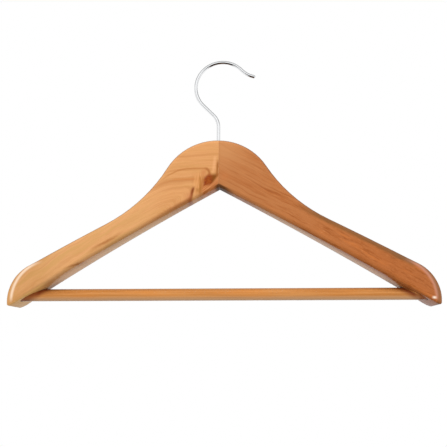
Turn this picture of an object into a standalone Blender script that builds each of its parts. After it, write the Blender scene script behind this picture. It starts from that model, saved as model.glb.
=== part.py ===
"""Contoured wooden clothes hanger: two swept arms joined at a centre seam, a trouser bar and a wire hook.

Metres, +Z up, +X to the right as seen from the front and -Y towards the front. The origin is the point
where a rail bears on the hook, at the top of the inside of its loop. The arms, the bar and what fastens
them turn together about the hook's stem.
"""
import bpy
import bmesh
from math import acos, atan, atan2, cos, pi, radians, sin, sqrt, tan
from mathutils import Matrix, Vector

# Clearance between pieces that touch on the real hanger
FIT = 0.0003
# How far a cutter runs past the surface that it opens
OVERRUN = 0.006

# Hook, bent from round wire; radii are to the wire's centre line
WIRE_DIA = 0.0035
LOOP_RADIUS = 0.0279
LOOP_OFFSET = 0.0036
NECK_RADIUS = 0.0184
NECK_SLOPE = radians(45.4)
LIP_RADIUS = 0.0264
LIP_START = radians(42.9)
LIP_SLOPE = radians(17.7)
LIP_LENGTH = 0.0016
HEAD_DIA = 0.0068
HEAD_HEIGHT = 0.0022
HEAD_BEVEL = 0.0005
WASHER_DIA = 0.009
WASHER_THICK = 0.001
STEM_DEPTH = 0.019
POCKET_SPARE = 0.001

# Front outline of the arms, whose seam lies a little to the right of the stem's bore
SEAM_SHIFT = 0.0014
CROWN_DROP = 0.0862
CROWN_RADIUS = 0.060
CROWN_SHIFT = 0.0024
BLEND_RADIUS = 0.150
SHOULDER_DROP = 0.0297
SHOULDER_ANGLE = radians(25.6)
ARM_REACH = 0.2222
END_RADIUS = 0.040
TIP_RADIUS = 0.0018
SEAM_HEIGHT = 0.0497
UNDERSIDE_ANGLE = radians(28.1)

# Thickness, rounded edges and backward sweep of the arms
CENTRE_THICK = 0.020
END_THICK = 0.027
EDGE_RADIUS = 0.0042
TIP_EDGE_RADIUS = 0.0016
TAPER_LENGTH = 0.030
BACK_CORNER = 0.010
SWEEP = 0.040

# Trouser bar and the brads that hold it
BAR_DIA = 0.0127
BAR_SET_IN = 0.0238
BAR_END_WALL = 0.0096
BAR_CHAMFER = 0.0008
PIN_DIA = 0.0016
PIN_HEAD_DIA = 0.0032
PIN_HEAD_THICK = 0.0008
PIN_LENGTH = 0.015
PIN_POINT_SHARE = 0.25
PIN_RISE = 0.0025
PIN_INSET = 0.0095

# Dowels across the centre seam
DOWEL_DIA = 0.006
DOWEL_LENGTH = 0.034
DOWEL_CHAMFER = 0.0008
UPPER_DOWEL_DROP = 0.0315
LOWER_DOWEL_DROP = 0.042

# Mesh counts
CROWN_STEPS = 12
BLEND_STEPS = 9
SHOULDER_STEPS = 8
END_STEPS = 18
TIP_STEPS = 4
EDGE_STEPS = 5
FACE_ROWS = 3
WIRE_SIDES = 16
LOOP_STEPS = 48
NECK_STEPS = 12
LIP_STEPS = 6
ROUND_TIP_STEPS = 4
ROD_SIDES = 40
SMALL_SIDES = 20
PIN_PASSES = 6

STEM_X = -LOOP_OFFSET
LOOP_CENTRE_Z = WIRE_DIA / 2 - LOOP_RADIUS


def material(name, colour, roughness, metallic):
    """A Principled material with the piece's colour, roughness and metal value."""
    made = bpy.data.materials.new(name)
    made.use_nodes = True
    shader = made.node_tree.nodes["Principled BSDF"]
    shader.inputs["Base Color"].default_value = (*colour, 1)
    shader.inputs["Roughness"].default_value = roughness
    shader.inputs["Metallic"].default_value = metallic
    return made


def add_object(name, bm, finish, parent=None, smooth_angle=radians(35)):
    """Turn a finished bmesh into a named object, shaded smooth but for its sharp edges."""
    bmesh.ops.recalc_face_normals(bm, faces=bm.faces)
    mesh = bpy.data.meshes.new(name)
    bm.to_mesh(mesh)
    bm.free()
    mesh.shade_smooth()
    mesh.set_sharp_from_angle(angle=smooth_angle)
    made = bpy.data.objects.new(name, mesh)
    bpy.context.scene.collection.objects.link(made)
    if finish:
        mesh.materials.append(finish)
    made.parent = parent
    return made


def add_cutter(name, bm, parent):
    """A solid that only takes material away."""
    made = add_object(name, bm, None, parent)
    made.hide_render = True
    made.display_type = "WIRE"
    return made


def cut(target, cutter):
    """Take a cutter's shape out of a piece."""
    boolean = target.modifiers.new(cutter.name, "BOOLEAN")
    boolean.operation = "DIFFERENCE"
    boolean.solver = "EXACT"
    boolean.object = cutter


def loft(rings, closed=False):
    """Skin a row of rings with equal numbers of points. Its ends are capped, or meet if it is closed."""
    bm = bmesh.new()
    loops = [[bm.verts.new(point) for point in ring] for ring in rings]
    following = loops[1:] + loops[:1] if closed else loops[1:]
    for near, far in zip(loops, following):
        for i in range(len(near)):
            j = (i + 1) % len(near)
            bm.faces.new((near[i], near[j], far[j], far[i]))
    if not closed:
        bm.faces.new(reversed(loops[0]))
        bm.faces.new(loops[-1])
    return bm


def turned(profile, sides, place=Matrix()):
    """A solid of revolution about Z, from (radius, height) pairs, then put in its place."""
    rings = []
    for radius, height in profile:
        angles = [2 * pi * i / sides for i in range(sides)]
        rings.append([place @ Vector((radius * cos(a), radius * sin(a), height)) for a in angles])
    return loft(rings)


def chamfered_rod(diameter, length, chamfer, sides, place):
    """A rod centred on its own middle, with a small chamfer at both ends."""
    half = length / 2
    radius = diameter / 2
    slim = radius - chamfer
    profile = ((slim, -half), (radius, chamfer - half), (radius, half - chamfer), (slim, half))
    return turned(profile, sides, place)


def along_x(x, y, z):
    """Placement that lays a turned solid's axis along X."""
    return Matrix.Translation((x, y, z)) @ Matrix.Rotation(pi / 2, 4, "Y")


# Plan of the arms. Outline points are (x, z) pairs, with x measured outwards from the seam and z up from
# the top of the crown. A depth w is measured through the thickness, from the middle towards the back.

def plan_offset(x):
    """How far back the middle of the arm lies at a distance x from the seam."""
    return SWEEP * (x / ARM_REACH) ** 2


def plan_angle(x):
    """Angle of the arm to the X axis in plan."""
    return atan(2 * SWEEP * x / ARM_REACH ** 2)


def half_thickness(x):
    return (CENTRE_THICK + (END_THICK - CENTRE_THICK) * abs(x) / ARM_REACH) / 2


def back_depth(x):
    """Depth of the arm's back face, which curves forward in a round corner at the very end."""
    past = min(max(x - ARM_REACH + BACK_CORNER, 0), BACK_CORNER)
    return half_thickness(x) - BACK_CORNER + sqrt(BACK_CORNER ** 2 - past ** 2)


def swept(side, x, w, z):
    """Place a point of the flat outline, at depth w, on the swept arm of one side."""
    angle = plan_angle(x)
    across = SEAM_SHIFT + side * (x - w * sin(angle))
    return Vector((across, plan_offset(x) + w * cos(angle), z - CROWN_DROP))


def arc_points(centre, radius, start, end, steps, outward=1):
    """Points and outward normals along an arc, the first point left out."""
    found = []
    for i in range(1, steps + 1):
        angle = start + (end - start) * i / steps
        ray = Vector((cos(angle), sin(angle)))
        found.append((centre + radius * ray, outward * ray))
    return found


def line_points(start, end, normal, steps):
    """Points and outward normals along a straight stretch, the first point left out."""
    return [(start.lerp(end, i / steps), normal) for i in range(1, steps + 1)]


def angle_of(vector):
    return atan2(vector.y, vector.x)


def tip_centre(end_centre):
    """Centre of the small tip arc, inside the end arc and tangent to the underside."""
    normal = Vector((-sin(UNDERSIDE_ANGLE), -cos(UNDERSIDE_ANGLE)))
    run = Vector((cos(UNDERSIDE_ANGLE), -sin(UNDERSIDE_ANGLE)))
    inward = (end_centre - Vector((0, -SEAM_HEIGHT))).dot(normal) + TIP_RADIUS
    along = sqrt((END_RADIUS - TIP_RADIUS) ** 2 - inward ** 2)
    return end_centre - inward * normal + along * run


def top_rail(side):
    """The upper outline from the crown to the middle of the tip: crown, hollow blend, shoulder, end, tip."""
    run = Vector((cos(SHOULDER_ANGLE), -sin(SHOULDER_ANGLE)))
    normal = Vector((sin(SHOULDER_ANGLE), cos(SHOULDER_ANGLE)))
    crown = Vector((-side * CROWN_SHIFT, -CROWN_RADIUS))
    blend_height = Vector((0, -SHOULDER_DROP)) - crown
    away = blend_height.dot(normal) + BLEND_RADIUS
    blend = crown + away * normal + sqrt((CROWN_RADIUS + BLEND_RADIUS) ** 2 - away ** 2) * run
    reach = ARM_REACH - END_RADIUS
    end = Vector((reach, -SHOULDER_DROP - reach * tan(SHOULDER_ANGLE) - END_RADIUS / cos(SHOULDER_ANGLE)))
    tip = tip_centre(end)
    crown_end = angle_of(blend - crown)
    crown_start = acos((-OVERRUN - crown.x) / CROWN_RADIUS)
    first = Vector((cos(crown_start), sin(crown_start)))
    tip_start = angle_of(tip - end)
    tip_middle = (tip_start - pi / 2 - UNDERSIDE_ANGLE) / 2
    rail = [(crown + CROWN_RADIUS * first, first)]
    rail += arc_points(crown, CROWN_RADIUS, crown_start, crown_end, CROWN_STEPS)
    rail += arc_points(blend, BLEND_RADIUS, crown_end + pi, 1.5 * pi - SHOULDER_ANGLE, BLEND_STEPS, -1)
    rail += line_points(rail[-1][0], end + END_RADIUS * normal, normal, SHOULDER_STEPS)
    rail += arc_points(end, END_RADIUS, pi / 2 - SHOULDER_ANGLE, tip_start, END_STEPS)
    rail += arc_points(tip, TIP_RADIUS, tip_start, tip_middle, TIP_STEPS)
    return rail, tip, tip_middle


def bottom_rail(upper, tip, tip_middle):
    """The straight underside and its half of the tip, with as many points as the upper outline."""
    normal = Vector((-sin(UNDERSIDE_ANGLE), -cos(UNDERSIDE_ANGLE)))
    start = Vector((-OVERRUN, OVERRUN * tan(UNDERSIDE_ANGLE) - SEAM_HEIGHT))
    finish = tip + TIP_RADIUS * normal
    spans = [(b[0] - a[0]).length for a, b in zip(upper, upper[1:])][:-TIP_STEPS]
    rail = [(start, normal)]
    run = 0
    for span in spans:
        run += span
        rail.append((start.lerp(finish, run / sum(spans)), normal))
    rail += arc_points(tip, TIP_RADIUS, -pi / 2 - UNDERSIDE_ANGLE, tip_middle, TIP_STEPS)
    return rail


def edge_radius(x):
    """Radius of the arm's rounded edges, which gets smaller towards the tip."""
    share = min(max((x - ARM_REACH + TAPER_LENGTH) / TAPER_LENGTH, 0), 1)
    return EDGE_RADIUS + (TIP_EDGE_RADIUS - EDGE_RADIUS) * share


def rim(point, normal):
    """Depths and places across one edge of the arm, front to back, with its two rounded corners."""
    radius = edge_radius(point.x)
    front = []
    back = []
    for i in range(EDGE_STEPS + 1):
        angle = pi / 2 * i / EDGE_STEPS
        inner = point - normal * radius * (1 - sin(angle))
        eased = radius * (1 - cos(angle))
        front.append((inner, eased - half_thickness(inner.x)))
        back.append((inner, back_depth(inner.x) - eased))
    return front + back[::-1]


def face_row(first, last):
    """Points across the front or the back of the arm, between its two rounded edges."""
    found = []
    for row in range(1, FACE_ROWS + 1):
        place = first[0].lerp(last[0], row / (FACE_ROWS + 1))
        found.append((place, back_depth(place.x) if first[1] > 0 else -half_thickness(place.x)))
    return found


def arm_ring(side, above, below):
    """One closed section of an arm between a point of the upper outline and its partner below."""
    upper = rim(*above)
    lower = rim(*below)
    ring = upper + face_row(upper[-1], lower[-1]) + lower[::-1] + face_row(lower[0], upper[0])
    return [swept(side, place.x, depth, place.y) for place, depth in ring]


def arm_blank(side):
    """An arm lofted past the seam, then cut off square at its glue face."""
    upper, tip, tip_middle = top_rail(side)
    lower = bottom_rail(upper, tip, tip_middle)
    bm = loft([arm_ring(side, above, below) for above, below in zip(upper, lower)])
    bmesh.ops.remove_doubles(bm, verts=bm.verts, dist=FIT / 100)
    everything = bm.verts[:] + bm.edges[:] + bm.faces[:]
    outwards = Vector((side, 0, 0))
    face = Vector((SEAM_SHIFT, 0, 0)) + outwards * FIT / 2
    sawn = bmesh.ops.bisect_plane(bm, geom=everything, plane_co=face, plane_no=outwards, clear_inner=True)
    edges = [item for item in sawn["geom_cut"] if isinstance(item, bmesh.types.BMEdge)]
    bmesh.ops.edgeloop_fill(bm, edges=edges)
    return bm


# Heights of what hangs in the pocket under the stem's bore
POCKET_ROOF = -CROWN_DROP - STEM_DEPTH
WASHER_TOP = POCKET_ROOF - FIT
HEAD_TOP = WASHER_TOP - WASHER_THICK - FIT
HEAD_FOOT = HEAD_TOP - HEAD_HEIGHT
POCKET_FLOOR = HEAD_FOOT - POCKET_SPARE

# Where the bar runs: its axis meets the underside in the middle of the arm's thickness
BAR_DROP = SEAM_HEIGHT + (ARM_REACH - BAR_SET_IN) * tan(UNDERSIDE_ANGLE)
BAR_Z = -CROWN_DROP - BAR_DROP
BAR_Y = plan_offset(ARM_REACH - BAR_SET_IN)
BAR_LENGTH = 2 * (ARM_REACH - BAR_END_WALL)


def hook_line():
    """Centre line of the wire from the neck's foot to the lip's end, as points and directions in X and Z."""
    loop = Vector((STEM_X + LOOP_OFFSET, LOOP_CENTRE_Z))
    square = Vector((sin(NECK_SLOPE), cos(NECK_SLOPE)))
    climb = Vector((-cos(NECK_SLOPE), sin(NECK_SLOPE)))
    joining = loop - LOOP_RADIUS * square
    bend_end = STEM_X - NECK_RADIUS * (1 - sin(NECK_SLOPE))
    leaving = joining - climb * (bend_end - joining.x) / cos(NECK_SLOPE)
    neck = leaving - NECK_RADIUS * square
    lip = loop + (LOOP_RADIUS + LIP_RADIUS) * Vector((cos(LIP_START), sin(LIP_START)))
    stations = [(neck + Vector((NECK_RADIUS, 0)), Vector((0, 1)))]
    for place, ray in arc_points(neck, NECK_RADIUS, 0, pi / 2 - NECK_SLOPE, NECK_STEPS):
        stations.append((place, Vector((-ray.y, ray.x))))
    stations.append((joining, climb))
    for place, ray in arc_points(loop, LOOP_RADIUS, 1.5 * pi - NECK_SLOPE, LIP_START, LOOP_STEPS):
        stations.append((place, Vector((ray.y, -ray.x))))
    for place, ray in arc_points(lip, LIP_RADIUS, LIP_START + pi, 1.5 * pi - LIP_SLOPE, LIP_STEPS):
        stations.append((place, Vector((-ray.y, ray.x))))
    place, heading = stations[-1]
    return stations + [(place + LIP_LENGTH * heading, heading)]


def wire_ring(place, heading, radius):
    """A ring of points round the wire."""
    across = Vector((-heading.y, 0, heading.x))
    depth = Vector((0, 1, 0))
    middle = Vector((place.x, 0, place.y))
    angles = [2 * pi * i / WIRE_SIDES for i in range(WIRE_SIDES)]
    return [middle + radius * (cos(a) * across + sin(a) * depth) for a in angles]


def make_hook(finish):
    """Wire with a headed stem, a neck, a loop and a lip whose end is rounded."""
    radius = WIRE_DIA / 2
    up = Vector((0, 1))
    head = HEAD_DIA / 2
    slim = head - HEAD_BEVEL
    stem = ((HEAD_FOOT, slim), (HEAD_FOOT + HEAD_BEVEL, head), (HEAD_TOP, head), (HEAD_TOP, radius))
    rings = [wire_ring(Vector((STEM_X, z)), up, width) for z, width in stem]
    line = hook_line()
    rings += [wire_ring(place, heading, radius) for place, heading in line]
    place, heading = line[-1]
    for i in range(1, ROUND_TIP_STEPS):
        angle = pi / 2 * i / ROUND_TIP_STEPS
        rings.append(wire_ring(place + radius * sin(angle) * heading, heading, radius * cos(angle)))
    return add_object("hook", loft(rings), finish)


def make_washer(finish, parent):
    """Flat steel washer under the pocket's roof, made as a ring round the stem."""
    inner = WIRE_DIA / 2 + FIT
    outer = WASHER_DIA / 2
    foot = WASHER_TOP - WASHER_THICK
    corners = ((inner, foot), (outer, foot), (outer, WASHER_TOP), (inner, WASHER_TOP))
    rings = []
    for i in range(SMALL_SIDES):
        angle = 2 * pi * i / SMALL_SIDES
        rings.append([Vector((r * cos(angle), r * sin(angle), z)) for r, z in corners])
    return add_object("hook_washer", loft(rings, closed=True), finish, parent)


def pin_place(side):
    """Placement of a brad: head in the back of the arm, shank square to that face and into the bar."""
    x = BAR_LENGTH / 2 - PIN_INSET
    middle = x
    for _ in range(PIN_PASSES):
        depth = (BAR_Y - plan_offset(middle)) / cos(plan_angle(middle))
        middle = x + depth * sin(plan_angle(middle))
    angle = plan_angle(middle)
    head = swept(side, middle, half_thickness(middle) - FIT, PIN_RISE - BAR_DROP)
    outwards = Vector((-side * sin(angle), cos(angle), 0))
    return Matrix.Translation(head) @ outwards.to_track_quat("Z", "Y").to_matrix().to_4x4()


def make_pin(name, side, finish, parent):
    """Small flat-headed brad with a tapered point."""
    shank = PIN_DIA / 2
    head = PIN_HEAD_DIA / 2
    neck = -PIN_HEAD_THICK
    point = shank * PIN_POINT_SHARE
    profile = ((point, -PIN_LENGTH), (shank, PIN_DIA - PIN_LENGTH), (shank, neck), (head, neck), (head, 0))
    return add_object(name, turned(profile, SMALL_SIDES, pin_place(side)), finish, parent)


def pin_hole(name, side, parent):
    """Blind hole for a brad, wider at the head and open at the back of the arm."""
    shank = PIN_DIA / 2 + FIT
    head = PIN_HEAD_DIA / 2 + FIT
    neck = -PIN_HEAD_THICK - FIT
    profile = ((shank, -PIN_LENGTH - FIT), (shank, neck), (head, neck), (head, OVERRUN))
    return add_cutter(name, turned(profile, SMALL_SIDES, pin_place(side)), parent)


def stem_bore(parent):
    """Bore for the stem with the wider pocket for the washer and the head below it."""
    bore = WIRE_DIA / 2 + FIT
    pocket = WASHER_DIA / 2 + FIT
    mouth = OVERRUN - CROWN_DROP
    profile = ((pocket, POCKET_FLOOR), (pocket, POCKET_ROOF), (bore, POCKET_ROOF), (bore, mouth))
    return add_cutter("stem_bore", turned(profile, SMALL_SIDES), parent)


def rod_hole(name, diameter, length, place, sides, parent):
    """Hole for a rod, wider and longer than it by the clearance."""
    radius = diameter / 2 + FIT
    half = length / 2 + FIT
    return add_cutter(name, turned(((radius, -half), (radius, half)), sides, place), parent)


def build():
    for old in list(bpy.data.objects):
        bpy.data.objects.remove(old, do_unlink=True)
    light_wood = material("lacquered_light_wood", (0.69, 0.34, 0.127), 0.35, 0)
    red_wood = material("lacquered_red_wood", (0.50, 0.17, 0.058), 0.35, 0)
    bar_wood = material("lacquered_bar_wood", (0.61, 0.27, 0.087), 0.35, 0)
    dowel_wood = material("plain_dowel_wood", (0.62, 0.43, 0.25), 0.6, 0)
    chrome = material("chrome_wire", (0.85, 0.85, 0.86), 0.06, 1)
    steel = material("plain_steel", (0.55, 0.55, 0.56), 0.3, 1)

    swivel = bpy.data.objects.new("swivel_axis", None)
    bpy.context.scene.collection.objects.link(swivel)
    swivel.location = (STEM_X, 0, 0)

    make_hook(chrome)
    make_washer(steel, swivel)
    left_arm = add_object("left_arm", arm_blank(-1), light_wood, swivel)
    right_arm = add_object("right_arm", arm_blank(1), red_wood, swivel)

    bore = stem_bore(swivel)
    for name, drop in (("upper", UPPER_DOWEL_DROP), ("lower", LOWER_DOWEL_DROP)):
        place = along_x(SEAM_SHIFT, 0, -CROWN_DROP - drop)
        dowel = chamfered_rod(DOWEL_DIA, DOWEL_LENGTH, DOWEL_CHAMFER, SMALL_SIDES, place)
        add_object(f"centre_dowel_{name}", dowel, dowel_wood, swivel)
        hole = rod_hole(f"{name}_dowel_hole", DOWEL_DIA, DOWEL_LENGTH, place, SMALL_SIDES, swivel)
        cut(left_arm, hole)
        cut(right_arm, hole)

    place = along_x(SEAM_SHIFT, BAR_Y, BAR_Z)
    rod = chamfered_rod(BAR_DIA, BAR_LENGTH, BAR_CHAMFER, ROD_SIDES, place)
    bar = add_object("trouser_bar", rod, bar_wood, swivel)
    bar_hole = rod_hole("bar_hole", BAR_DIA, BAR_LENGTH, place, ROD_SIDES, swivel)
    for arm, name, side in ((left_arm, "left", -1), (right_arm, "right", 1)):
        make_pin(f"bar_pin_{name}", side, steel, swivel)
        hole = pin_hole(f"{name}_pin_hole", side, swivel)
        cut(arm, bore)
        cut(arm, bar_hole)
        cut(arm, hole)
        cut(bar, hole)


build()
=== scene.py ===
"""Looks for a contoured wooden clothes hanger: lacquered boards, trouser bar, chrome hook and the studio."""
from math import cos, radians, sin

import bmesh
import bpy
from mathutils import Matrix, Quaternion, Vector


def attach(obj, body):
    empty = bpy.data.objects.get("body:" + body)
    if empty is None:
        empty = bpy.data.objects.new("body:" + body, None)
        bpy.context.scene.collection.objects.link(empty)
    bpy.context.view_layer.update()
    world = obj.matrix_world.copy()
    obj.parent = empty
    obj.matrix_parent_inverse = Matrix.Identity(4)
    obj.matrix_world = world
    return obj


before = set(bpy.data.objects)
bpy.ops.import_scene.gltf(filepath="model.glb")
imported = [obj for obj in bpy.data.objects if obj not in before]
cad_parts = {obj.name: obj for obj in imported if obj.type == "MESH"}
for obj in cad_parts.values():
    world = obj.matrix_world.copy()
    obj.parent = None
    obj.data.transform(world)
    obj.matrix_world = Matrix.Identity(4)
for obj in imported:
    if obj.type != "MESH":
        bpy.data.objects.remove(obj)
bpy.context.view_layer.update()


# Left arm. A flat-sawn board of pale wood with wide growth rings, cut so that a knot lies beside the seam.
# The rings run level across the crown, turn down round the knot, and follow the arm out to its end. It is
# sanded round at the edges and sprayed with clear satin lacquer.
class Grain:
    """A value in a material that can be written into ordinary arithmetic."""

    def __init__(self, tree, socket=None):
        self.tree = tree
        self.socket = socket

    def node(self, kind, sockets=(), out=0, stops=(), **settings):
        """Add a node, make its settings and fill its sockets, and give back one of its outputs."""
        made = self.tree.nodes.new("ShaderNode" + kind)
        for name, value in settings.items():
            setattr(made, name, value)
        for i, (place, colour) in enumerate(stops):
            ramp = made.color_ramp.elements
            stop = ramp[i] if i < 2 else ramp.new(place)
            stop.position = place
            stop.color = colour
        for plug, value in dict(sockets).items():
            if isinstance(value, Grain):
                self.tree.links.new(value.socket, made.inputs[plug])
            else:
                made.inputs[plug].default_value = value
        return Grain(self.tree, made.outputs[out])

    def maths(self, operation, *values):
        """One Math node, by its operation's name."""
        return self.node("Math", dict(enumerate(values)), operation=operation)

    def __add__(self, other):
        return self.maths("ADD", self, other)

    def __sub__(self, other):
        return self.maths("SUBTRACT", self, other)

    def __rsub__(self, other):
        return self.maths("SUBTRACT", other, self)

    def __mul__(self, other):
        return self.maths("MULTIPLY", self, other)

    def __truediv__(self, other):
        return self.maths("DIVIDE", self, other)

    def __rtruediv__(self, other):
        return self.maths("DIVIDE", other, self)

    __radd__ = __add__
    __rmul__ = __mul__

    def absolute(self):
        return self.maths("ABSOLUTE", self)

    def root(self):
        return self.maths("SQRT", self)

    def step(self, low, high, first=0, last=1):
        """A soft step from the first value to the last as this one goes from low to high."""
        limits = {0: self, 1: low, 2: high, 3: first, 4: last}
        return self.node("MapRange", limits, interpolation_type="SMOOTHSTEP")

    def band(self, middle, reach):
        """One at the middle value, falling softly to nothing at a distance of reach from it."""
        return (self - middle).absolute().step(0, reach, 1, 0)

    def between(self, first, second):
        """Colour that goes from the first to the second as this value goes from 0 to 1."""
        return self.node("Mix", {0: self, 6: first, 7: second}, out=2, data_type="RGBA")

    def stained(self, mask, tone_255):
        """This colour, going over to another wood tone as the mask goes from 0 to 1."""
        return mask.between(self, wood_tone(*tone_255))

    def noise(self, x, y, z, detail=2.0, roughness=0.55):
        """Noise that is even over one unit of each of three values."""
        place = self.node("CombineXYZ", {0: x, 1: y, 2: z})
        return self.noise_at(place, 1.0, detail, roughness)

    def noise_at(self, place, scale, detail, roughness=0.55):
        """Noise at a place, finer as the scale grows."""
        sockets = {"Vector": place, "Scale": scale, "Detail": detail, "Roughness": roughness}
        return self.node("TexNoise", sockets)

    def feed(self, shader, name):
        """Link this value to a socket of the shader."""
        self.tree.links.new(self.socket, shader.inputs[name])


def tone(red, green, blue, shine=0.0):
    """A colour given as it looks on a screen, in 255ths, less the shine that lies over it."""
    linear = [((c / 255 + 0.055) / 1.055) ** 2.4 for c in (red, green, blue)]
    return (*[max(c - shine, 0.002) for c in linear], 1)


LACQUER_SHINE = 0.012


def wood_tone(red, green, blue):
    """The wood's own colour where its lacquered face looks like this."""
    return tone(red, green, blue, LACQUER_SHINE)


def new_finish(name):
    """A fresh material, with its Principled shader and a value to start its arithmetic from."""
    made = bpy.data.materials.new(name)
    made.use_nodes = True
    return made, made.node_tree.nodes["Principled BSDF"], Grain(made.node_tree)


WELD_DISTANCE = 0.000002
CORNER_ANGLE = radians(32)


def wear(node_name, finish):
    """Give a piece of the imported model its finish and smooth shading, with its real corners kept crisp."""
    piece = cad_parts[node_name]
    piece.data.materials.clear()
    piece.data.materials.append(finish)
    for face in piece.data.polygons:
        face.use_smooth = True
    weld = piece.modifiers.new("weld", "WELD")
    weld.merge_threshold = WELD_DISTANCE
    split = piece.modifiers.new("corners", "EDGE_SPLIT")
    split.split_angle = CORNER_ANGLE
    return piece


SEAM_X = -0.0022
CROWN_Z = -0.0862
MILLIMETRES = 1000


def from_the_seam(grain):
    """Millimetres to the right of the seam, below the crown, and behind the middle of the crown."""
    split = grain.node("SeparateXYZ", {0: grain.node("TexCoord", out="Object")}).socket.node
    x, y, z = [Grain(grain.tree, plug) for plug in split.outputs]
    return (x - SEAM_X) * MILLIMETRES, (CROWN_Z - z) * MILLIMETRES, y * MILLIMETRES


def facing(grain):
    """How far a face looks backwards, and how far it looks up. The front has minus one and nothing."""
    split = grain.node("SeparateXYZ", {0: grain.node("TexCoord", out="Normal")}).socket.node
    return [Grain(grain.tree, plug) for plug in split.outputs[1:]]


# The arm's outline in millimetres: its underside, which is a straight line, and the arc round its end
SEAM_HEIGHT = 49.7
UNDERSIDE_SLOPE = 0.534
END_ASIDE = 182.2
END_DOWN = 161.4
END_RADIUS = 40


def past_the_underside(aside, down):
    """How far a place lies below the line of the underside. The wood's front is above it, so negative."""
    return down - aside * UNDERSIDE_SLOPE - SEAM_HEIGHT


def distance(aside, down, from_aside, from_down):
    across = aside - from_aside
    drop = down - from_down
    return (across * across + drop * drop).root()


def inside_the_end(aside, down):
    """How far a place lies inside the arc round an arm's end."""
    return END_RADIUS - distance(aside, down, END_ASIDE, END_DOWN)


COAT_WEIGHT = 0.65
GRAIN_RELIEF = 0.0001


def lacquer(grain, shader, colour, relief, rim_highlight_tone=None, rim_highlight_strength=0.0):
    """Clear satin lacquer over wood, with a trace of the grain standing through it.

    Shade is painted into the colour at the apex, and a shadow where the bar enters, with less coat at both.
    The coat is also dull along the inner edge. An arm, which gives a tone for the painted highlight on its
    end's rim, also gets painted shade along its upper edge and painted light underneath.
    """
    along, down, back = from_the_seam(grain)
    aside = along.absolute()
    under = past_the_underside(aside, down)
    # Painted shade in the inner corner at the apex, where the undersides of the two arms meet; less coat
    # there
    painted_apex_shade = under.step(-3.6, -2.0) * under.step(3, 1) * along.step(-6, -1) * along.step(19, 4)
    colour = colour.stained(painted_apex_shade * 0.85, (84, 52, 20))
    # Painted shadow where the bar enters the arms' undersides, on the bar and the arm's edge above it; less
    # coat there
    corner = under.step(-1.0, 1.0) * under.step(8, 1) * aside.step(162, 176)
    corner = corner * along.step(-199, -191) * along.step(205, 197) * back.step(14, 22)
    colour = colour.stained(corner * 0.85, (126, 50, 8))
    dull = under.step(-2.5, -1.0) * under.step(3, 1) * aside.step(130, 6)
    coat = COAT_WEIGHT - dull * 0.42 - painted_apex_shade * 0.35 - corner * 0.3
    if rim_highlight_tone:
        backwards, up = facing(grain)
        outer = backwards.absolute()
        # Painted shade along the upper rounded edges of the arms, with less coat there
        painted_edge_shade = outer.step(0.86, 0.5) * outer.step(0.02, 0.18) * up.step(-0.05, 0.2)
        colour = colour.stained(painted_edge_shade * 0.65, (122, 80, 46))
        coat = coat - painted_edge_shade * 0.45
        # Painted light on the arm's underside
        painted_underside_light = under.step(-1.0, 0.2) * aside.step(20, 70) * aside.step(208, 190)
        colour = colour.stained(painted_underside_light * 0.45, (255, 205, 140))
        # Painted highlight on the rounded rim round the arm's end
        rim = inside_the_end(aside, down).band(1.0, 2.8) * aside.step(184, 204)
        rim = rim * down.step(166, 156) * outer.step(0.15, 0.5)
        colour = colour.stained(rim * rim_highlight_strength, rim_highlight_tone)
    grain.maths("MAXIMUM", coat, 0).feed(shader, "Coat Weight")
    colour.feed(shader, "Base Color")
    shader.inputs["Roughness"].default_value = 0.45
    shader.inputs["Specular IOR Level"].default_value = 0.1
    shader.inputs["Coat Roughness"].default_value = 0.14
    bump = grain.node("Bump", {"Strength": 0.18, "Distance": GRAIN_RELIEF, "Height": relief})
    bump.feed(shader, "Normal")


def growth_rings(grain, along, down, back, wobble):
    """A value that counts the rings: level over the crown, falling along the arm, upright by the knot."""
    wander = grain.noise(along * 0.022, down * 0.035, back * 0.03) - 0.5
    wander = wander * along.step(-40, -110, 0.4, 1.3)
    from_the_bend = along + 55
    fall = ((from_the_bend * from_the_bend + 100).root() - from_the_bend) * 0.275
    level_width = 17
    level = (52 - down + fall) / level_width + back * 0.012 + wander * 0.45 + wobble * 0.06
    upright_width = 22.5
    upright = (along + 28.5) / upright_width + wander * 0.5 + wobble * 0.10
    return grain.maths("SMOOTH_MAX", level, upright, 0.35)


PALE_WOOD = (219, 158, 102)


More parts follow.
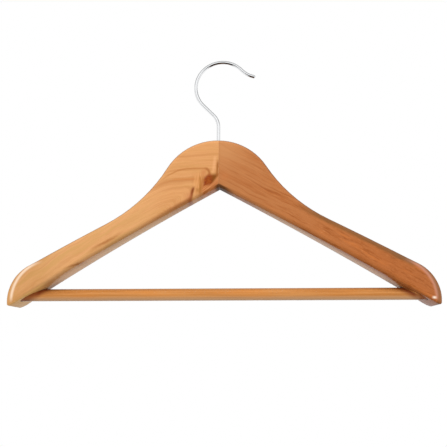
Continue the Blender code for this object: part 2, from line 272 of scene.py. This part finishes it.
def ringed_board(grain, along, down, back, ring, fibre, wobble):
    """Pale wood with darker lines of late wood, fibres, and a few short marks along the arm."""
    lowest_ring, rings_across = -2.2, 5.4
    lateness = [(0.0, 0.37)]
    for place, reach, depth in ((0.12, 0.06, 0.7), (0.27, 0.035, 0.38), (0.405, 0.013, 0.5),
                                (0.49, 0.05, 0.62), (0.608, 0.016, 1.0), (0.772, 0.017, 0.5)):
        lateness += [(place - reach, 0.0), (place, depth), (place + reach, depth * 0.25)]
    lateness += [(0.88, 0.03), (1.0, 0.08)]
    across = (ring - lowest_ring) / rings_across
    late = grain.node("ValToRGB", {0: across}, stops=[(place, (d, d, d, 1)) for place, d in lateness])
    wood = late.between(wood_tone(225, 164, 109), wood_tone(172, 104, 52))
    travel = along - down
    faintness = grain.noise(travel * 0.012, ring * 1.3, back * 0.02, detail=1.0)
    wood = wood.stained(faintness.step(0.66, 0.34, 0.0, 0.75), PALE_WOOD)
    wood = wood.stained(fibre.step(0.35, 0.72) * 0.42, (184, 116, 60))
    tinge = grain.noise(travel * 0.016, ring * 4, back * 0.05)
    wood = wood.stained(tinge.step(0.4, 0.65) * along.step(-60, -130, 0.25, 0.8), (200, 148, 84))
    wood = wood.stained(along.step(-140, -200, 0, 0.35), (192, 142, 84))
    wood = wood.stained(along.step(-45, -85) * along.step(-205, -165) * 0.18, (234, 186, 132))
    marks = (down + along * 0.52 + wobble * 4).band(44.2, 3.2) * along.band(-117, 24)
    marks = marks + (down + along * 0.29 + wobble * 3).band(83.8, 1.8) * along.band(-149, 17)
    wood = wood.stained(marks * 0.75, (166, 100, 50))
    fleck = grain.noise(travel * 0.09, ring * 70, back * 1.5)
    return wood.stained(fleck.step(0.5, 0.85) * 0.24, (240, 190, 136))


def squeezed_fibres(grain, wood, along, down, back, wobble):
    """The upright fibres between the knot and the arm, and the pale streak above the knot."""
    squeezed = grain.noise(along * 0.5 + down * 0.06, down * 0.03, back * 0.2)
    fibres = squeezed.step(0.36, 0.64).between(wood_tone(176, 108, 52), wood_tone(224, 158, 98))
    beside = along.step(-29, -22) * along.step(-13.5, -15.5) * down.step(32, 42) * down.step(59, 54)
    wood = (beside * 0.7).between(wood, fibres)
    dark_fibre = (along + 19.3 + wobble).band(0, 1.5) * down.step(38, 42) * down.step(55, 52)
    wood = wood.stained(dark_fibre * 0.75, (172, 112, 50))
    olive = (along + 21 + wobble * 3).band(0, 3.4) * down.band(54, 4)
    wood = wood.stained(olive * 0.6, (160, 104, 44))
    orange_band = (down - 41.8 + wobble * 2).band(0, 1.8) * along.step(-50, -44) * along.step(-23, -27)
    wood = wood.stained(orange_band * 0.55, (205, 130, 72))
    pale_streak = (along + (down - 27) * 0.12).band(-4.9, 2.6) * down.step(16, 20) * down.step(36.5, 34.5)
    return wood.stained(pale_streak * 0.42, (240, 178, 126))


def sweeping_ring(grain, wood, along, down, wobble):
    """The ring above the knot, which runs level and then sweeps down into it."""
    rising = grain.maths("MINIMUM", along + 30, 0)
    level_part = (down - 30.6 - rising * rising * 0.0135 + wobble * 0.8).band(0, 1.5)
    level_part = level_part * along.step(-66, -45) * along.step(-10, -13)
    wood = wood.stained(level_part * 0.7, (184, 118, 64))
    turn = distance(along, down, -14.3, 36) + wobble * 1.6
    sweep = turn.band(4.6, 2.8) * along.step(-16, -11.5) * down.step(41, 37)
    wood = wood.stained(sweep * 0.8, (168, 98, 50))
    blushed = along.band(-15.5, 5) * down.band(35, 6)
    return wood.stained(blushed * 0.7, (200, 128, 78))


def knot_and_stain(grain, wood, along, down, back):
    """The knot: a dark wedge, broadest at the left, with stained fibres below it and up beside the seam."""
    swirl = grain.noise(along * 0.2 - down * 0.1, down * 0.3 + along * 0.12, back * 0.2,
                        detail=3.0, roughness=0.6)
    frayed = (swirl - 0.5) * 3
    below = down + along * 0.3 + frayed
    slanting = grain.noise(along * 0.08, (down + along * 0.66) * 0.55, back * 0.2)
    stripe_tones = slanting.step(0.4, 0.6).between(wood_tone(172, 96, 46), wood_tone(212, 138, 86))
    stripes = below.step(42.5, 44.5) * along.step(-18, -15.5) * along.step(0.2, -1.8)
    wood = (stripes * 0.85).between(wood, stripe_tones)
    towards_seam = along + down * 0.657
    stained = towards_seam.step(20, 24) * along.step(-10, -6) * down.step(34, 38)
    wood = wood.stained(stained * 0.65, (190, 116, 68))
    upper_left = (down + along * 0.98 + frayed).step(22.6, 29.0)
    top = (down + frayed * 0.8).step(34.6, 39.4)
    foot = below.step(46.8, 43.4)
    right = (towards_seam + frayed * 0.6).step(25.8, 22.4)
    left = (along + frayed * 0.4).step(-17.4, -13.8)
    heart = swirl.step(0.36, 0.62).between(wood_tone(138, 58, 14), wood_tone(160, 82, 34))
    heart = heart.stained(along.step(-9.5, -4.0), (134, 78, 26))
    wood = (upper_left * top * foot * right * left).between(wood, heart)
    beside_seam = (along + (down - 30) * 0.04).band(-1.5, 2.1) * down.step(20, 27) * down.step(41, 38)
    return wood.stained(beside_seam * 0.9, (160, 96, 46))


def lower_edge(wood, along, down, back, wobble):
    """The dark upright foot of the arm's last ring, dark fibres beside it, and painted light under the end.
    """
    foot = (along + (down - 56) * 0.26 + wobble).band(-27.3, 2.7) * down.step(48, 53)
    wood = wood.stained(foot * 0.95, (134, 64, 22))
    blush = along.step(-36, -30) * along.step(-27, -28.5) * down.step(53, 60)
    wood = wood.stained(blush * 0.5, (196, 122, 78))
    under = past_the_underside(along * -1, down)
    edge_fibres = (under + wobble * 2).band(-2.4, 4.2) * along.step(-80, -40) * along.step(-26, -31)
    wood = wood.stained(edge_fibres * 0.7, (160, 94, 50))
    # Painted light on the lower edge and underside of the left end
    painted_underside_light = (under - back.step(28, 38, 0, 2.6)).step(-4.2, -2.0) * along.step(-178, -192)
    return wood.stained(painted_underside_light * 0.9, (240, 184, 110))


def flat_sawn_wood():
    """Pale board with growth rings that turn down round a knot."""
    made, shader, grain = new_finish("flat_sawn_wood")
    along, down, back = from_the_seam(grain)
    wobble = grain.noise(along * 0.16, down * 0.16, back * 0.1, detail=3.0) - 0.5
    ring = growth_rings(grain, along, down, back, wobble)
    fibre = grain.noise((along - down) * 0.02, ring * 26, back * 0.5, detail=4.0, roughness=0.6)
    wood = ringed_board(grain, along, down, back, ring, fibre, wobble)
    wood = squeezed_fibres(grain, wood, along, down, back, wobble)
    wood = sweeping_ring(grain, wood, along, down, wobble)
    wood = knot_and_stain(grain, wood, along, down, back)
    wood = lower_edge(wood, along, down, back, wobble)
    shader.inputs["Base Color"].default_value = wood_tone(*PALE_WOOD)
    # The left end's rim gets a pale painted highlight
    lacquer(grain, shader, wood, fibre, rim_highlight_tone=(255, 230, 204), rim_highlight_strength=0.7)
    return made


left_arm = wear("left_arm", flat_sawn_wood())


# Right arm. A quarter-sawn board of redder wood, so its grain is fine and straight and runs along the arm.
# It is shaped and lacquered like the left one and glued to it at the seam.
SHOULDER_SLOPE = 0.479
GRAIN_SLOPE = 0.535


def straight_grain(grain, along, down, back, ripple):
    """Redder wood with fine straight grain that falls away from the seam, and the streaks that it shows."""
    wander = grain.noise(along * 0.02, down * 0.03, back * 0.02) - 0.5
    across = down - along * GRAIN_SLOPE + wander * 8 + ripple * 1.6 + back * 0.08
    broad = grain.noise(along * 0.006, across * 0.11, back * 0.04)
    streak = grain.noise(along * 0.022, across * 0.42, back * 0.3, detail=4.0, roughness=0.62)
    fine = grain.noise(along * 0.06, across * 1.7, back * 1.2)
    flame = grain.noise(along * 0.02, across * 0.2, back * 0.05)
    wood = along.step(5, 190).between(wood_tone(187, 122, 74), wood_tone(182, 106, 57))
    wood = wood.stained(broad.step(0.35, 0.68) * 0.5, (178, 106, 58))
    wood = wood.stained(flame.step(0.52, 0.7) * along.step(30, 90) * 0.6, (203, 118, 60))
    wood = wood.stained(streak.step(0.46, 0.7) * along.step(0, 90, 0.5, 0.85), (158, 86, 40))
    wood = wood.stained(fine.step(0.5, 0.8) * 0.35, (222, 148, 94))
    dark_line = across.band(25.5, 1.3) * along.band(52, 34)
    return wood.stained(dark_line * 0.65, (150, 80, 40)), streak


def quarter_sawn_wood():
    """The right arm's board, with painted shade along its upper edge and round its end, painted highlights on
    the end's rim and lower corner, and paler wood by the seam.
    """
    made, shader, grain = new_finish("quarter_sawn_wood")
    along, down, back = from_the_seam(grain)
    outer = facing(grain)[0].absolute()
    ripple = grain.noise(along * 0.10, down * 0.10, back * 0.05) - 0.5
    wood, streak = straight_grain(grain, along, down, back, ripple)
    # Painted shade along the upper rounded edge, out towards the end
    painted_top_edge_shade = (down - along * SHOULDER_SLOPE + ripple * 2).step(36.6, 32.4)
    painted_top_edge_shade = painted_top_edge_shade * along.step(74, 104) * along.step(204, 194) * outer.step(0.05, 0.35)
    wood = wood.stained(painted_top_edge_shade * 0.7, (120, 84, 48))
    blushed = along.band(6, 8) * down.band(40, 8)
    wood = wood.stained(blushed * 0.4, (200, 122, 70))
    end_shade = inside_the_end(along, down).step(1.5, 0.2) * along.step(170, 190) * outer.step(0.0, 0.15)
    wood = wood.stained(end_shade * 0.6, (130, 92, 60))
    glint = along.band(218.5, 3.6) * down.band(160.5, 2.2) * back.step(36, 30)
    wood = wood.stained(glint, (255, 236, 214))
    by_the_seam = along.step(2.6, 0.6) * down.step(30, 18)
    wood = wood.stained(by_the_seam * 0.5, (176, 116, 66))
    wood = wood.stained(down.step(40, 10) * along.step(40, 5) * 0.55, (208, 148, 96))
    shader.inputs["Base Color"].default_value = wood_tone(190, 120, 70)
    # The right end's rim gets a pinkish painted highlight
    lacquer(grain, shader, wood, streak, rim_highlight_tone=(226, 164, 142), rim_highlight_strength=0.45)
    return made


right_arm = wear("right_arm", quarter_sawn_wood())


# Glue line. Wood glue fills the joint between the arms from face to face, squeezed out and sanded flush.
# It is taken from the left arm's own glue face and reaches across to the right one.
JOINT_GAP = 0.0003
GLUE_WIDTH = 0.00025


def glue_film():
    """The sawn face at the seam, drawn out to the width of the joint."""
    shape = bmesh.new()
    shape.from_mesh(left_arm.data)
    bmesh.ops.remove_doubles(shape, verts=shape.verts, dist=WELD_DISTANCE)
    others = [face for face in shape.faces
              if face.normal.x < 0.999 or abs(face.calc_center_median().x - SEAM_X) > GLUE_WIDTH]
    bmesh.ops.delete(shape, geom=others, context="FACES")
    bmesh.ops.translate(shape, verts=shape.verts, vec=((JOINT_GAP - GLUE_WIDTH) / 2, 0, 0))
    grown = bmesh.ops.extrude_face_region(shape, geom=shape.faces[:])
    moved = [item for item in grown["geom"] if isinstance(item, bmesh.types.BMVert)]
    bmesh.ops.translate(shape, verts=moved, vec=(GLUE_WIDTH, 0, 0))
    bmesh.ops.recalc_face_normals(shape, faces=shape.faces)
    mesh = bpy.data.meshes.new("glue_line")
    shape.to_mesh(mesh)
    shape.free()
    return mesh


def dried_glue():
    """Brownish glue, a little darker in patches."""
    made, shader, grain = new_finish("dried_glue")
    _, down, back = from_the_seam(grain)
    patch = grain.noise(0.0, down * 0.15, back * 0.15)
    patch.step(0.35, 0.7).between(tone(196, 128, 76), tone(160, 98, 52)).feed(shader, "Base Color")
    shader.inputs["Roughness"].default_value = 0.4
    return made


glue_line = bpy.data.objects.new("glue_line", glue_film())
bpy.context.scene.collection.objects.link(glue_line)
glue_line.data.materials.append(dried_glue())
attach(glue_line, "frame")


# Centre dowels. Two short dowels of plain pale wood across the joint, glued into both arms and not seen
# from outside.
def plain_dowel_wood():
    """Unlacquered pale wood with its fibres along the dowel."""
    made, shader, grain = new_finish("plain_dowel_wood")
    along, down, back = from_the_seam(grain)
    fibre = grain.noise(along * 0.05, down * 1.4, back * 1.4, detail=3.0)
    fibre.step(0.3, 0.75).between(tone(222, 190, 150), tone(190, 150, 106)).feed(shader, "Base Color")
    shader.inputs["Roughness"].default_value = 0.7
    return made


dowel_wood = plain_dowel_wood()
wear("centre_dowel_upper", dowel_wood)
wear("centre_dowel_lower", dowel_wood)


# Hook. Round steel wire, bent cold and plated with bright chrome, with a headed stem inside the wood. The
# plating is polished, so it has only a faint haze.
def bright_chrome():
    """Mirror plating, very slightly rougher in places."""
    made, shader, grain = new_finish("bright_chrome")
    haze = grain.noise_at(grain.node("TexCoord", out="Object"), scale=160.0, detail=2.0)
    haze.step(0.3, 0.8, 0.035, 0.09).feed(shader, "Roughness")
    shader.inputs["Metallic"].default_value = 1
    shader.inputs["Base Color"].default_value = (0.86, 0.87, 0.88, 1)
    return made


wear("hook", bright_chrome())


# Washer and brads. Plain zinc-washed steel, turned and headed, hidden in the crown's pocket or sunk in the
# back of each arm's end.
def plain_steel():
    """Dull grey metal with a fine mottle."""
    made, shader, grain = new_finish("plain_steel")
    mottle = grain.noise_at(grain.node("TexCoord", out="Object"), scale=900.0, detail=3.0)
    mottle.step(0.3, 0.75).between(tone(196, 197, 200), tone(160, 160, 163)).feed(shader, "Base Color")
    mottle.step(0.3, 0.8, 0.28, 0.42).feed(shader, "Roughness")
    shader.inputs["Metallic"].default_value = 1
    return made


steel = plain_steel()
wear("hook_washer", steel)
wear("bar_pin_left", steel)
wear("bar_pin_right", steel)


# Trouser bar. A turned dowel of straight-grained wood, lacquered, let into holes bored in the underside of
# the two ends and held there by a brad at each.
def turned_bar_wood():
    """Straight-grained wood with painted shade on top, painted light below and a painted shadow by each arm.
    """
    made, shader, grain = new_finish("turned_bar_wood")
    along, down, back = from_the_seam(grain)
    up = facing(grain)[1]
    wander = grain.noise(along * 0.01, down * 0.05, back * 0.05, detail=1.0) - 0.5
    slope = down + wander * 4 + along * 0.004
    streak = grain.noise(along * 0.012, slope * 0.8, back * 0.8, detail=4.0, roughness=0.6)
    fine = grain.noise(along * 0.05, slope * 3, back * 3)
    patch = grain.noise(along * 0.018, slope * 0.15, back * 0.15)
    wood = streak.step(0.35, 0.72).between(wood_tone(212, 146, 84), wood_tone(190, 122, 62))
    wood = wood.stained(fine.step(0.5, 0.8) * 0.25, (226, 162, 104))
    wood = wood.stained(patch.step(0.5, 0.72) * 0.5, (210, 134, 66))
    # Painted light along the bar's underside
    wood = wood.stained(down.step(157, 162) * 0.7, (232, 190, 150))
    # Painted shade along the bar's top
    wood = wood.stained(up.step(0.3, 0.9) * 0.4, (140, 92, 48))
    # Painted shadow of each arm's lower edge on the bar, where the bar enters it
    arm_shadow_on_bar = past_the_underside(along.absolute(), down).step(9, 1)
    arm_shadow_on_bar = arm_shadow_on_bar * (along.step(-184, -200) + along.step(198, 206))
    wood = wood.stained(arm_shadow_on_bar * 0.8, (140, 66, 16))
    lacquer(grain, shader, wood, streak)
    return made


wear("trouser_bar", turned_bar_wood())


# Studio. A pale floor well below the hanger, even white light from all round that is a little stronger in
# front, and one large soft light above the camera. Reflections see a plainer room, with a dark strip below
# the hanger that gives the chrome its streaks.
FLOOR_Z = -1.4
FLOOR_REACH = 12


def stage_sheet(name, reach, place, finish):
    """A level square sheet that reaches as far each way from its middle."""
    shape = bmesh.new()
    bmesh.ops.create_grid(shape, x_segments=1, y_segments=1, size=reach)
    bmesh.ops.translate(shape, verts=shape.verts, vec=place)
    mesh = bpy.data.meshes.new(name)
    shape.to_mesh(mesh)
    shape.free()
    mesh.materials.append(finish)
    made = bpy.data.objects.new(name, mesh)
    bpy.context.scene.collection.objects.link(made)
    return made


pale_floor, floor_shader, _ = new_finish("pale_floor")
floor_shader.inputs["Base Color"].default_value = (0.9, 0.9, 0.9, 1)
floor_shader.inputs["Emission Color"].default_value = (1, 1, 1, 1)
floor_shader.inputs["Emission Strength"].default_value = 0.2
floor_shader.inputs["Roughness"].default_value = 0.9
floor = stage_sheet("floor", FLOOR_REACH, (0, 0, FLOOR_Z), pale_floor)
floor.visible_glossy = False
floor.visible_diffuse = False

world = bpy.data.worlds.new("white_room")
world.use_nodes = True
bpy.context.scene.world = world
room = Grain(world.node_tree)
background = world.node_tree.nodes["Background"]
away = room.node("SeparateXYZ", {0: room.node("TexCoord", out="Generated")}).socket.node
side, depth, height = [Grain(world.node_tree, plug) for plug in away.outputs]
fill = height.step(-0.6, 0.7, 0.46, 0.72) + depth.step(0.3, -1.0, 0.0, 0.42) + depth.step(0.2, 1.0, 0.0, 0.35)
dark_strip = side.step(-0.64, -0.5) * side.step(0.64, 0.5) * (height + depth * 0.2).step(-0.14, -0.27)
dark_strip = dark_strip * depth.step(0.85, 0.6)
dull_back = depth.step(0.3, 0.8) * height.step(-0.1, 0.12) * 0.5
dull_top = height.step(0.3, 0.6) * 0.45
dark_front = depth.step(-0.5, -0.8) * 0.85
mirrored = (1 - dark_strip) * (1 - dull_back) * (1 - dull_top) * (1 - dark_front) * 0.95
gloss_ray = room.node("LightPath", out="Is Glossy Ray")
camera_ray = room.node("LightPath", out="Is Camera Ray")
unseen = fill * (1 - gloss_ray) + mirrored * gloss_ray
(camera_ray + unseen * (1 - camera_ray)).feed(background, "Strength")
background.inputs["Color"].default_value = (1, 1, 1, 1)


def soft_light(name, energy, width, height, place, aim):
    """An oblong soft box, turned towards a point."""
    lamp = bpy.data.lights.new(name, "AREA")
    lamp.shape = "RECTANGLE"
    lamp.energy = energy
    lamp.size = width
    lamp.size_y = height
    made = bpy.data.objects.new(name, lamp)
    made.location = place
    made.rotation_mode = "QUATERNION"
    made.rotation_quaternion = (Vector(aim) - made.location).to_track_quat("-Z", "Y")
    bpy.context.scene.collection.objects.link(made)
    return made


key_light = soft_light("key_light", energy=19, width=1.0, height=0.7,
                       place=(-0.3, -1.5, 1.3), aim=(0, 0, -0.17))
key_light.visible_glossy = False

# A white card in front of the hook alone, so the chrome mirrors white and the lacquer doesn't
chrome_card = soft_light("chrome_card", energy=12, width=2.4, height=1.6,
                         place=(0, -1.6, 0.55), aim=(0, 0, -0.05))
chrome_only = bpy.data.collections.new("chrome_only")
chrome_only.objects.link(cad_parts["hook"])
chrome_card.light_linking.receiver_collection = chrome_only


# Camera. It stands a little below the hanger and to its right, as in the photograph, a metre away and with
# a view that is as wide as the photograph is at the hanger.
CAMERA_TARGET = Vector((0.0022, 0, -0.17297))
CAMERA_AWAY = 1.0
CAMERA_TURN = radians(4.3)
CAMERA_RISE = radians(-12)
CAMERA_ROLL = radians(0.34)
PHOTO_WIDTH = 447
PIXEL_WIDTH = 0.0010249
SENSOR_WIDTH = 36

lens = bpy.data.cameras.new("camera")
lens.sensor_width = SENSOR_WIDTH
lens.lens = SENSOR_WIDTH * CAMERA_AWAY / (PHOTO_WIDTH * PIXEL_WIDTH)
camera = bpy.data.objects.new("camera", lens)
level_reach = cos(CAMERA_RISE)
towards_us = Vector((sin(CAMERA_TURN) * level_reach, -cos(CAMERA_TURN) * level_reach, sin(CAMERA_RISE)))
camera.location = CAMERA_TARGET + towards_us * CAMERA_AWAY
camera.rotation_mode = "QUATERNION"
camera.rotation_quaternion = (-towards_us).to_track_quat("-Z", "Y") @ Quaternion((0, 0, 1), CAMERA_ROLL)
bpy.context.scene.collection.objects.link(camera)
bpy.context.scene.camera = camera
bpy.context.scene.view_settings.view_transform = "Standard"
